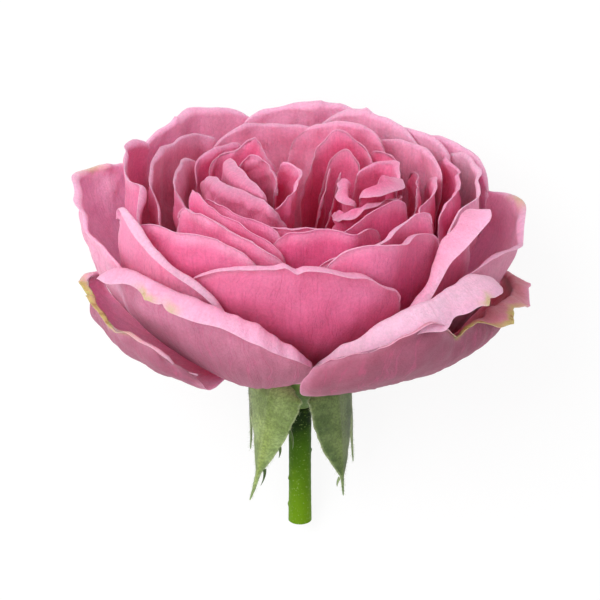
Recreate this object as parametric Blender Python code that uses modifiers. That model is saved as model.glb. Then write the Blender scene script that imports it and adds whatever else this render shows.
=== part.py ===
"""A full double garden rose on a short cut stem, lying on its side.

The flower is modelled upright in its own frame (flower axis +Z, receptacle at the origin, front towards
-Y, lengths in millimetres) and an empty that carries every piece lays it on the floor.  The rose is first
laid out as a plan: each petal is an arc round the middle of the flower, or round the heart of one of its
quarters.  A petal then rises over its arc on cup-shaped bowls, rho being the distance from the middle:
    r = rho * sin(psi) ** BOWL_P,  z = base(rho) + BOWL_H * (1 - cos(psi))
Petals whose arcs do not meet in the plan do not cross.
"""

import math

import bmesh
import bpy
from mathutils import Vector

MM = 0.001

# bowls the petals follow, mm
BOWL_H = 27.5
BOWL_P = 0.86
BASE_TOP = 5.2
BASE_SLOPE = 0.18
DOME_R = 5.2
DOME_H = 7.0
DOME_Z = -2.6
DOME_GAP = 0.35
START_LEAST = 0.2
PETAL_T = 0.36

# petal outline: half width of the claw where it leaves the receptacle (deg), its most as a share of the
# petal's, that share round a heart, the height of the full width, and how the shoulders draw in above that
CLAW = 13.0
CLAW_MOST = 0.6
HEART_CLAW = 0.45
FULL_AT = 0.7
FULL_CURVE = 1.3
SHOULDER_AT = 0.78
SHOULDER_IN = 0.07
TIP_WIDTH = 0.3
UP_CURVE = 0.9
LIP_FADE = 0.7
BELLY_CURVE = 1.6
SAG_AT = 0.25
SAG_WIDTH = 0.8
SAG_CURVE = 0.75

# receptacle: dome above, and the hip below it as radius and height, mm
DOME_STEPS = 5
HIP = [
    (5.2, -2.6),
    (5.5, -3.6),
    (5.6, -5.0),
    (5.2, -7.0),
    (4.3, -9.0),
    (2.9, -10.8),
    (2.15, -11.8),
]

# stem, mm
STEM_R = 2.05
STEM_TOP = -12.1
STEM_LEN = 23.4
STEM_BEND = 0.6
STEM_FLARE = 0.06
STEM_STEPS = 6

# sepals, mm
SEPAL_T = 0.6
SEPAL_LEN = 27.0
SEPAL_HALF = 5.0
SEPAL_R0 = 6.3
SEPAL_Z0 = -4.6
SEPAL_BEND = 3.2
SEPAL_CUP = 0.16
SEPAL_FOOT = 2.8
SEPAL_FOOT_TO = 0.12
SEPAL_TIP = 0.35
BLADE_FROM = 0.16
BLADE_CURVE = 0.8
BLADE_FULL = 0.9

# stamens left in the eye of the flower, mm
EYE_R = 0.85
EYE_Z = 10.2
EYE_FOOT = 4.7

# how the flower lies: its axis leans back until the stem's cut end and two guard petals touch the floor
LEAN_DEG = -58.4

# hearts round which petals stand: place in the plan (mm), direction of the long axis (deg), its length
# for a width of 1
MIDDLE = (0.0, 0.0, 0.0, 1.0)
LEFT_HEART = (-9.2, 2.6, 108.0, 1.36)
RIGHT_HEART = (11.1, 0.5, 72.0, 1.3)
BACK_HEART = (6.4, 9.3, 68.0, 1.2)
EYE_HEART = (4.0, 4.0, 66.0, 2.6)

# the crowded centre nods: how far its rims lean sideways and forwards (mm), and the radius where that ends
NOD = (1.6, -6.5)
NOD_R = 21.0

# petal rows: azimuth and half width (deg), bowl radius rho and rim height (mm), then options:
#   spiral  change of bowl radius towards +azimuth        tilt  change of rim height towards +azimuth
#   drop    how far the shoulders fall below the middle   lip   radius of the rolled lip
#   turn    how far the lip rolls over (deg)              tip   extra height of a pointed middle
#   claw    azimuth shift of the claw (deg)               bow   how much flatter than its bowl the petal is
#   heart   what the petal stands round, if not the middle    belly  how far it bulges below its rim (mm)
#   dips    dents of the rim: how deep (mm), where from -1 to 1, how wide
#   sag     how far the middle of the blade hangs (mm)
PETALS = {
    # guard petals, widest, bent away from the cup
    "outer_petal_01": dict(at=(-157, 34, 41.0, 13.8), drop=1.8, tilt=-0.5, lip=1.1, turn=90, belly=3.0,
                           dips=((5.0, 1.0, 0.16),)),
    "outer_petal_02": dict(at=(-119, 35, 35.2, 22.5), spiral=-1.2, tilt=-5.5, drop=6, lip=1.9, turn=150,
                           sag=2.6),
    "outer_petal_03": dict(at=(-40, 50, 40.2, 15.8), spiral=1, tilt=-1.2, drop=1.8, lip=1.4, turn=70,
                           belly=3.4, dips=((2.5, -1.1, 0.16), (-3.2, -0.4, 0.2))),
    "outer_petal_04": dict(at=(84, 16, 32.4, 27.0), drop=5, lip=1.0, turn=90, claw=-16),
    "outer_petal_05": dict(at=(-56, 29, 34.9, 21.5), spiral=2.5, tilt=6, drop=6, lip=1.9, turn=150),
    "outer_petal_06": dict(at=(178, 34, 38.4, 27.9), spiral=-1.8, bow=2.2, tilt=-2, drop=4, lip=1, turn=90,
                           claw=-16),
    "outer_petal_07": dict(at=(-5, 36, 38.2, 25.0), spiral=1.8, bow=2.0, tilt=1, drop=2.5, lip=1, turn=90,
                           dips=((2.5, -0.1, 0.25),)),
    "outer_petal_08": dict(at=(116, 24, 38.4, 20.0), spiral=2.0, bow=3.4, drop=5, lip=1.2, turn=90),
    "outer_petal_09": dict(at=(59, 27, 38.4, 20.0), spiral=-2.0, bow=3.4, drop=5, lip=1.2, turn=90),
    # cup petals, the tall wall of the flower
    "cup_petal_01": dict(at=(-134, 26, 32.5, 28.5), spiral=-0.8, tilt=-8, drop=4, lip=1.6, turn=150),
    "cup_petal_02": dict(at=(-44, 19, 32.2, 25.5), spiral=0.8, tilt=11, drop=4, lip=1.35, turn=140),
    "cup_petal_03": dict(at=(185, 33, 30.0, 34.5), spiral=-1.4, tilt=-1, drop=3, lip=0.8, turn=70),
    "cup_petal_04": dict(at=(128, 27, 32.8, 34.5), drop=3, lip=0.9, turn=100, tip=0.8),
    "cup_petal_05": dict(at=(88, 24, 30.2, 35.0), drop=2, lip=0.8, turn=80),
    "cup_petal_06": dict(at=(62, 25, 28.0, 34.8), drop=3, lip=0.8, turn=80, claw=6),
    "cup_petal_07": dict(at=(46, 18, 30.0, 33.2), drop=3, lip=0.8, turn=80, claw=-10),
    "cup_petal_08": dict(at=(37, 25, 33.8, 31.6), drop=2.5, lip=0.9, turn=100),
    "cup_petal_09": dict(at=(4, 37, 31.0, 31.6), spiral=1.5, drop=3, lip=0.8, turn=70),
    "cup_petal_10": dict(at=(-92, 40, 30.0, 28.2), tilt=-1, drop=6, lip=1.8, turn=160),
    "cup_petal_11": dict(at=(-128, 27, 28.3, 31.0), spiral=-2.2, tilt=-1, drop=2, lip=0.7, turn=70),
    "cup_petal_12": dict(at=(-118, 28, 24.8, 32.0), tilt=-3, drop=2, lip=0.7, turn=70),
    "cup_petal_13": dict(at=(-58, 26, 26.1, 30.5), spiral=1, tilt=3, drop=1.5, lip=0.7, turn=80, claw=-8),
    "cup_petal_14": dict(at=(-55, 27, 28.2, 30.0), tilt=-1, drop=2.6, lip=0.7, turn=80, claw=15),
    # inner petals, folded upright inside the cup
    "inner_petal_01": dict(at=(165, 44, 25.9, 34.5), drop=2, lip=0.5, turn=60),
    "inner_petal_02": dict(at=(-122, 30, 22.6, 33.0), spiral=0.6, tilt=-3, drop=1, lip=0.5, turn=60),
    "inner_petal_03": dict(at=(-76, 28, 21.8, 31.0), drop=1.5, lip=0.5, turn=60),
    "inner_petal_04": dict(at=(-50, 24, 19.9, 32.0), spiral=1, tilt=1.5, drop=1.5, lip=0.5, turn=60),
    "inner_petal_05": dict(at=(70, 27, 21.1, 35.2), drop=2.5, lip=0.5, turn=60),
    "inner_petal_06": dict(at=(-122, 29, 19.1, 32.5), tilt=-1, drop=1, lip=0.5, turn=60),
    "inner_petal_07": dict(at=(4, 32, 27.3, 31.6), drop=2, lip=0.5, turn=60),
    "inner_petal_08": dict(at=(-6, 30, 23.7, 31.4), drop=2, lip=0.5, turn=60),
    "inner_petal_09": dict(at=(102, 30, 24.6, 33.4), drop=2, lip=0.5, turn=60),
    "inner_petal_10": dict(at=(38, 27, 25.0, 32.4), drop=2, lip=0.5, turn=60),
    "inner_petal_11": dict(at=(176, 31, 21.9, 33.2), drop=2, lip=0.5, turn=60),
    "inner_petal_12": dict(at=(138, 28, 19.5, 33.0), drop=2, lip=0.5, turn=60),
    # centre petals, in quarters that each have their own heart: left, right, back, and the fringe round them
    "centre_petal_01": dict(at=(92, 88, 5.8, 34.4), tip=1.2, tilt=-0.8, drop=2.5, heart=BACK_HEART),
    "centre_petal_02": dict(at=(-88, 26, 16.6, 30.8), drop=1.5),
    "centre_petal_03": dict(at=(234, 68, 8.2, 32.6), tilt=-1.0, drop=1.0, heart=LEFT_HEART),
    "centre_petal_04": dict(at=(98, 56, 6.9, 34.0), tip=0.8, drop=1.5, heart=LEFT_HEART),
    "centre_petal_05": dict(at=(6, 20, 20.9, 31.0), drop=1.5),
    "centre_petal_06": dict(at=(38, 15, 18.8, 32.4), drop=1.5),
    "centre_petal_07": dict(at=(-80, 80, 6.6, 31.2), drop=1.0, heart=RIGHT_HEART),
    "centre_petal_08": dict(at=(-16, 62, 6.3, 33.2), tilt=2.2, drop=1.0, heart=LEFT_HEART),
    "centre_petal_09": dict(at=(70, 80, 3.5, 32.8), drop=1.5, heart=BACK_HEART),
    "centre_petal_10": dict(at=(50, 58, 5.8, 33.0), drop=1.0, heart=RIGHT_HEART),
    "centre_petal_11": dict(at=(205, 86, 5.0, 34.2), drop=1.0, heart=LEFT_HEART),
    "centre_petal_12": dict(at=(60, 90, 3.3, 35.0), drop=1.0, heart=LEFT_HEART),
    "centre_petal_13": dict(at=(194, 54, 4.8, 32.4), drop=1.0, heart=RIGHT_HEART),
    "centre_petal_14": dict(at=(-30, 88, 3.6, 33.6), drop=1.0, heart=RIGHT_HEART),
    "centre_petal_15": dict(at=(156, 60, 1.5, 32.2), tilt=-1.0, drop=1.0, heart=EYE_HEART),
    "centre_petal_16": dict(at=(-24, 60, 1.5, 32.0), tilt=1.0, drop=1.0, heart=EYE_HEART),
}
OPTIONS = dict(spiral=0.0, bow=0.0, tilt=0.0, drop=2.0, lip=0.0, turn=0.0, tip=0.0, claw=0.0)
OPTIONS.update(heart=MIDDLE, belly=0.0, dips=(), sag=0.0)

# mesh divisions per kind: across, up the bowl, round the lip
DIVISIONS = {
    "outer": (8, 6, 2),
    "cup": (7, 5, 2),
    "inner": (6, 5, 1),
    "centre": (9, 6, 0),
}

# sepal rows: azimuth, length factor, width factor, outward lean of the hanging blade (deg),
#   sideways sweep of the tip (mm)
SEPALS = {
    "sepal_1": (-123, 0.92, 1.05, 6, -3.0),
    "sepal_2": (-54, 0.86, 1.0, 8, -1.0),
    "sepal_3": (19, 0.84, 0.9, 5, 0.0),
    "sepal_4": (91, 0.80, 0.9, -6, 0.0),
    "sepal_5": (163, 0.74, 0.9, 5, 1.0),
}

# colours, linear
COLOURS = {
    "outer": (0.60, 0.24, 0.33),
    "cup": (0.74, 0.30, 0.42),
    "inner": (0.78, 0.24, 0.38),
    "centre": (0.80, 0.16, 0.32),
    "sepal": (0.19, 0.25, 0.10),
    "stem": (0.09, 0.21, 0.02),
    "receptacle": (0.12, 0.20, 0.05),
    "stamens": (0.45, 0.24, 0.06),
}


def clear_scene():
    for obj in list(bpy.data.objects):
        bpy.data.objects.remove(obj, do_unlink=True)


def polar(r, degrees, z):
    a = math.radians(degrees)
    return Vector((r * math.cos(a), r * math.sin(a), z))


def bowl_base(rho):
    """Height of the pole of a bowl: small bowls sit higher on the receptacle."""
    return BASE_TOP - BASE_SLOPE * rho


def bowl_point(plan, psi):
    """Point above a place of the flower's plan, at angle psi up its bowl."""
    rho = math.hypot(*plan)
    shrink = math.sin(psi) ** BOWL_P
    rise = 1.0 - math.cos(psi)
    nod = max(0.0, 1.0 - (rho / NOD_R) ** 2) ** 2 * rise * rise
    x = (plan[0] + NOD[0] * nod) * shrink
    y = (plan[1] + NOD[1] * nod) * shrink
    return Vector((x, y, bowl_base(rho) + BOWL_H * rise))


def bowl_start(rho):
    """Angle at which a bowl leaves the receptacle dome."""
    psi = START_LEAST
    while psi < 1.5:
        point = bowl_point((rho, 0.0), psi)
        out = (math.hypot(point.x, point.y) / (DOME_R + DOME_GAP)) ** 2
        if out + ((point.z - DOME_Z) / (DOME_H + DOME_GAP)) ** 2 >= 1.0:
            break
        psi += 0.004
    return psi


def rim_height(row, u):
    """Rim height of a petal at u from -1 to 1."""
    height = row["at"][3] + row["tilt"] * u - row["drop"] * abs(u) ** 3.0
    for deep, where, wide in row["dips"]:
        height -= deep * math.exp(-(((u - where) / wide) ** 2))
    return height + row["tip"] * math.exp(-((u / TIP_WIDTH) ** 2))


def petal_width(v, claw, half):
    """Half width in degrees at a height, from the claw to the shoulders."""
    grow = math.sin(min(1.0, v / FULL_AT) * math.pi / 2) ** FULL_CURVE
    shoulder = max(0.0, v - SHOULDER_AT) / (1.0 - SHOULDER_AT)
    return (claw + (half - claw) * grow) * (1.0 - SHOULDER_IN * shoulder ** 2)


def petal_plan(row, degrees):
    """Place of a petal in the flower's plan, at an angle round its heart."""
    azimuth, half, rho, _ = row["at"]
    x, y, axis, stretch = row["heart"]
    sheet = max(-1.0, min(1.0, (degrees - azimuth) / half))
    rho += row["spiral"] * sheet - row["bow"] * sheet * sheet
    turn = math.radians(axis)
    angle = math.radians(degrees) - turn
    along, across = stretch * rho * math.cos(angle), rho * math.sin(angle)
    return (
        x + math.cos(turn) * along - math.sin(turn) * across,
        y + math.sin(turn) * along + math.cos(turn) * across,
    )


def petal_point(row, u, v, w):
    """u across from -1 to 1, v up the bowl from 0 to 1, w round the rolled lip from 0 to 1."""
    azimuth, half, _, _ = row["at"]
    claw = min(CLAW, half * CLAW_MOST) if row["heart"] is MIDDLE else half * HEART_CLAW
    az = azimuth + row["claw"] * (1.0 - v) ** 2 + petal_width(v, claw, half) * u
    plan = petal_plan(row, az)
    rho = math.hypot(*plan)
    lip = row["lip"]
    c = 1.0 - (rim_height(row, u) - lip - bowl_base(rho)) / BOWL_H
    psi_end = math.acos(max(-0.9, min(0.999, c)))
    psi_start = bowl_start(rho)
    psi = psi_start + (psi_end - psi_start) * v ** UP_CURVE
    point = bowl_point(plan, psi)
    bulge = row["belly"] * math.sin(math.pi * v ** BELLY_CURVE)
    sag = row["sag"] * math.exp(-(((u - SAG_AT) / SAG_WIDTH) ** 2)) * math.sin(math.pi * v ** SAG_CURVE)
    point += polar(bulge, az, -sag)
    if w > 0.0 and lip > 0.0:
        out = rho * BOWL_P * math.sin(psi) ** (BOWL_P - 1.0) * math.cos(psi)
        along = Vector((out, BOWL_H * math.sin(psi)))
        along.normalize()
        across = Vector((along.y, -along.x))
        turn = math.radians(row["turn"]) * w
        step = along * math.sin(turn) + across * (1.0 - math.cos(turn))
        step *= lip * (1.0 - LIP_FADE * abs(u) ** 3)
        point += polar(step.x, az, step.y)
    return point


def add_piece(name, data, kind, roughness):
    """Object in the rose's collection, with its own material, carried by the pose empty."""
    mat = bpy.data.materials.new(name)
    mat.use_nodes = True
    shader = mat.node_tree.nodes["Principled BSDF"]
    shader.inputs["Base Color"].default_value = (*COLOURS[kind], 1.0)
    shader.inputs["Roughness"].default_value = roughness
    data.materials.append(mat)
    obj = bpy.data.objects.new(name, data)
    obj.parent = POSE
    ROSE.objects.link(obj)
    return obj


def sheet(name, rows, kind, roughness, thickness):
    """Thin shell from rows of points, each row running across the sheet."""
    mesh = bpy.data.meshes.new(name)
    bm = bmesh.new()
    grid = [[bm.verts.new(point * MM) for point in row] for row in rows]
    for low, high in zip(grid[:-1], grid[1:]):
        for i in range(len(low) - 1):
            bm.faces.new((low[i], low[i + 1], high[i + 1], high[i]))
    bm.to_mesh(mesh)
    bm.free()
    mesh.shade_smooth()
    obj = add_piece(name, mesh, kind, roughness)
    shell = obj.modifiers.new("thickness", "SOLIDIFY")
    shell.thickness = thickness * MM
    shell.offset = 0.0


def build_petal(name, options):
    row = dict(OPTIONS)
    row.update(options)
    kind = name.split("_")[0]
    columns, up, curl = DIVISIONS[kind]
    rows = []
    for j in range(up + curl + 1):
        v = min(1.0, j / up)
        w = max(0.0, (j - up) / curl) if curl else 0.0
        rows.append([petal_point(row, -1.0 + 2.0 * i / columns, v, w) for i in range(columns + 1)])
    sheet(name, rows, kind, 0.55, PETAL_T)


def sepal_point(row, u, v):
    """A sepal leaves the hip sideways, bends down and hangs, cupped across its width."""
    azimuth, length, width, lean, sweep = row
    arc = math.radians(90 - lean)
    along = v * SEPAL_LEN * length
    bent = min(arc, along / SEPAL_BEND)
    rest = max(0.0, along - SEPAL_BEND * arc)
    r = SEPAL_R0 + SEPAL_BEND * math.sin(bent) + rest * math.cos(arc)
    z = SEPAL_Z0 - SEPAL_BEND * (1.0 - math.cos(bent)) - rest * math.sin(arc)
    grown = (BLADE_FROM + (1.0 - BLADE_FROM) * v) ** BLADE_CURVE
    half = max(SEPAL_TIP, SEPAL_HALF * width * math.sin(math.pi * min(1.0, grown)) ** BLADE_FULL)
    if v < SEPAL_FOOT_TO:
        half = max(half, SEPAL_FOOT * width)
    cup = SEPAL_CUP * half * u * u
    middle = polar(r - cup * math.sin(bent), azimuth, z - cup * math.cos(bent))
    return middle + polar(half * u + sweep * v * v, azimuth + 90, 0.0)


def build_sepal(name, row):
    columns, length = 4, 10
    rows = []
    for j in range(length + 1):
        rows.append([sepal_point(row, -1.0 + 2.0 * i / columns, j / length) for i in range(columns + 1)])
    sheet(name, rows, "sepal", 0.8, SEPAL_T)


def turned(name, profile, sides, kind, roughness):
    """Turned solid from a profile of (radius, height) that runs down its outer side, pole to pole."""
    mesh = bpy.data.meshes.new(name)
    bm = bmesh.new()
    points = [bm.verts.new((r * MM, 0.0, z * MM)) for r, z in profile]
    for a, b in zip(points[:-1], points[1:]):
        bm.edges.new((a, b))
    bm.to_mesh(mesh)
    bm.free()
    obj = add_piece(name, mesh, kind, roughness)
    spin = obj.modifiers.new("turn", "SCREW")
    spin.steps = sides
    spin.render_steps = sides
    spin.use_merge_vertices = True
    spin.merge_threshold = 0.00001
    spin.use_smooth_shade = True


def build_receptacle():
    dome = []
    for k in range(DOME_STEPS):
        a = math.radians(90.0 * (1.0 - k / DOME_STEPS))
        dome.append((DOME_R * math.cos(a) if k else 0.0, DOME_Z + DOME_H * math.sin(a)))
    turned("receptacle", dome + HIP + [(0.0, HIP[-1][1])], 20, "receptacle", 0.6)


def build_stamens():
    """The tuft of stamens and styles on the receptacle, deep between the centre petals."""
    top = [(0.0, EYE_Z), (EYE_R * 0.7, EYE_Z - 0.2), (EYE_R, EYE_Z - 0.9)]
    foot = [(EYE_R * 0.55, EYE_FOOT + 1.8), (EYE_R * 0.35, EYE_FOOT + 0.3), (0.0, EYE_FOOT)]
    turned("stamens", top + foot, 12, "stamens", 0.7)


def build_stem():
    """Round stem, bowed a little towards the front, cut square at its foot."""
    curve = bpy.data.curves.new("stem", "CURVE")
    curve.dimensions = "3D"
    curve.bevel_depth = STEM_R * MM
    curve.bevel_resolution = 3
    curve.use_fill_caps = True
    line = curve.splines.new("POLY")
    line.points.add(STEM_STEPS)
    for k, point in enumerate(line.points):
        t = k / STEM_STEPS
        point.co = (0.0, -STEM_BEND * t * t * MM, (STEM_TOP - STEM_LEN * t) * MM, 1.0)
        point.radius = 1.0 + STEM_FLARE * (2.0 * t - 1.0) ** 2
    add_piece("stem", curve, "stem", 0.5)


def lowest_and_middle():
    """Lowest height and the middle of the footprint of the whole rose as it is posed now."""
    bpy.context.view_layer.update()
    graph = bpy.context.evaluated_depsgraph_get()
    low = Vector((1e9, 1e9, 1e9))
    high = -low
    for obj in ROSE.objects:
        if obj.type == "EMPTY":
            continue
        shown = obj.evaluated_get(graph)
        for v in shown.to_mesh().vertices:
            at = shown.matrix_world @ v.co
            low = Vector(min(a, b) for a, b in zip(low, at))
            high = Vector(max(a, b) for a, b in zip(high, at))
        shown.to_mesh_clear()
    return Vector(((low.x + high.x) / 2, (low.y + high.y) / 2, low.z))


clear_scene()
ROSE = bpy.data.collections.new("rose")
bpy.context.scene.collection.children.link(ROSE)
POSE = bpy.data.objects.new("rose_pose", None)
ROSE.objects.link(POSE)
POSE.rotation_euler = (math.radians(LEAN_DEG), 0.0, 0.0)
for petal_name, petal_options in PETALS.items():
    build_petal(petal_name, petal_options)
for sepal_name, sepal_row in SEPALS.items():
    build_sepal(sepal_name, sepal_row)
build_receptacle()
build_stamens()
build_stem()
POSE.location = -lowest_and_middle()
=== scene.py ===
"""Looks of a full double garden rose on a short cut stem, lying on its side.

The flower is worked out in mm in its own frame (axis +Z, receptacle at the origin, front towards -Y), and
FLOWER carries it to the part's frame.  Each petal stands over an arc of the plan and follows the same
bowls as its solid, rho being the distance from the middle:
    r = rho * sin(psi) ** BOWL_P,  z = base(rho) + BOWL_H * (1 - cos(psi))
Then come its rolled lip, waves and teeth, and a smooth warp that bends all petals together.
"""

import random
from math import copysign, cos, hypot, pi, radians, sin, sqrt

import bpy
import numpy as np
from mathutils import Matrix, Vector


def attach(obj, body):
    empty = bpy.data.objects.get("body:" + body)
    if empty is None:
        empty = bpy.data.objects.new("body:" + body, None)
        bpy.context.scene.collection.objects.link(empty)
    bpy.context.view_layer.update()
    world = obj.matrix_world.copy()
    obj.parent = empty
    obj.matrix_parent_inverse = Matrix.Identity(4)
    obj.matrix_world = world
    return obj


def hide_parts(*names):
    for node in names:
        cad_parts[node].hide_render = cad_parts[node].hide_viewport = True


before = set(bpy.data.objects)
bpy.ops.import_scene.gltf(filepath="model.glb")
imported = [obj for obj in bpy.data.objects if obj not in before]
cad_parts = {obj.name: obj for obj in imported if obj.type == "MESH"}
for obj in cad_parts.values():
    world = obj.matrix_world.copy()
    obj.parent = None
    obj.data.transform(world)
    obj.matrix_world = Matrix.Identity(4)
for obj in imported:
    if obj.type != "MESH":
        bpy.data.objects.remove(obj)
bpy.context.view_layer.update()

MM = 0.001

# ---- driving sizes, mm, as in the solids
BOWL_H = 27.5
BOWL_P = 0.86
BASE_TOP = 5.2
BASE_SLOPE = 0.18
DOME_R = 5.2
DOME_H = 7.0
DOME_Z = -2.6
DOME_GAP = 0.35
START_LEAST = 0.2

CLAW = 13.0
CLAW_MOST = 0.6
HEART_CLAW = 0.45
FULL_AT = 0.7
FULL_CURVE = 1.3
SHOULDER_AT = 0.78
SHOULDER_IN = 0.07
TIP_WIDTH = 0.3
UP_CURVE = 0.9
LIP_FADE = 0.7
BELLY_CURVE = 1.6
SAG_AT = 0.25
SAG_WIDTH = 0.8
SAG_CURVE = 0.75

LEAN_DEG = -58.4

# radius and height of the hip, from the top down
HIP = ((5.2, -2.6), (5.5, -3.6), (5.6, -5.0), (5.2, -7.0), (4.3, -9.0), (2.9, -10.8), (2.15, -11.8))

STEM_R = 2.05
STEM_TOP = -12.1
STEM_LEN = 23.4
STEM_BEND = 0.6
STEM_FLARE = 0.06

SEPAL_LEN = 27.0
SEPAL_HALF = 5.0
SEPAL_R0 = 6.3
SEPAL_Z0 = -4.6
SEPAL_BEND = 3.2
SEPAL_CUP = 0.352
SEPAL_FOOT = 2.8
SEPAL_FOOT_TO = 0.12

EYE_R = 0.85
EYE_TOP = 8.6
EYE_FOOT = 4.7

# hearts that centre petals stand round: place (mm), direction of the long axis (deg), stretch along it
MIDDLE = (0.0, 0.0, 0.0, 1.0)
LEFT_HEART = (-9.2, 2.6, 108.0, 1.36)
RIGHT_HEART = (11.1, 0.5, 72.0, 1.3)
BACK_HEART = (6.4, 9.3, 68.0, 1.2)
EYE_HEART = (4.0, 4.0, 66.0, 2.6)

NOD = (1.6, -6.5)
NOD_R = 21.0

# finished petals and sepals are thinner than their solids: at the margin, inside, and how wide the margin is
PETAL_WALL = (0.09, 0.24, 1.5)
SEPAL_WALL = (0.16, 0.42, 1.2)
LOBE_WALL = (0.22, 0.22, 1)

# petal rows, as in the solids and in the order of their numbers, in mm and degrees
#   at      azimuth, half width, bowl radius rho, rim height
#   spiral  change of bowl radius, and tilt of rim height, towards +azimuth
#   bow     how much flatter than its bowl the petal is     claw    azimuth shift of the claw
#   drop    how far the shoulders fall, square the power    tip     extra height of a pointed middle
#   lip     radius of the rolled lip, turn how far it goes  heart   what the petal stands round
#   belly   how far it bulges below its rim                 sag     how far the middle of the blade hangs
#   dips    dents of the rim: depth, where, width           teeth   its steps: where, width, height
# and for the finish, places across a petal being from -1 to 1
#   tail    width of the flat band beyond the roll          frill   how much it ruffles, for 1 as its kind
#    corner  how far the rim rounds down at its ends         soft    reach of pale colour and painted light
#   fold    stretch whose margin is folded over further: from, to, turn, tail
#   worn    greenish papery stretches of the margin: where, width, strength
#   dull    how mauve the petal is, from 0 to 1, on its back and on its face
# a dull back past 0.75 turns to painted shade in dark mauve
OPTIONS = dict(spiral=0, bow=0, tilt=0, tip=0, claw=0, heart=MIDDLE, belly=0, dips=(), sag=0, lip=0, turn=0)
OPTIONS.update(tail=0.3, square=3, corner=2, teeth=(), frill=1, fold=None, worn=(), dull=(0.1, 0.1), soft=0)
EYE_PETAL = dict(tip=1.2, drop=3, square=1.6, heart=EYE_HEART, frill=0.6)
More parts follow.
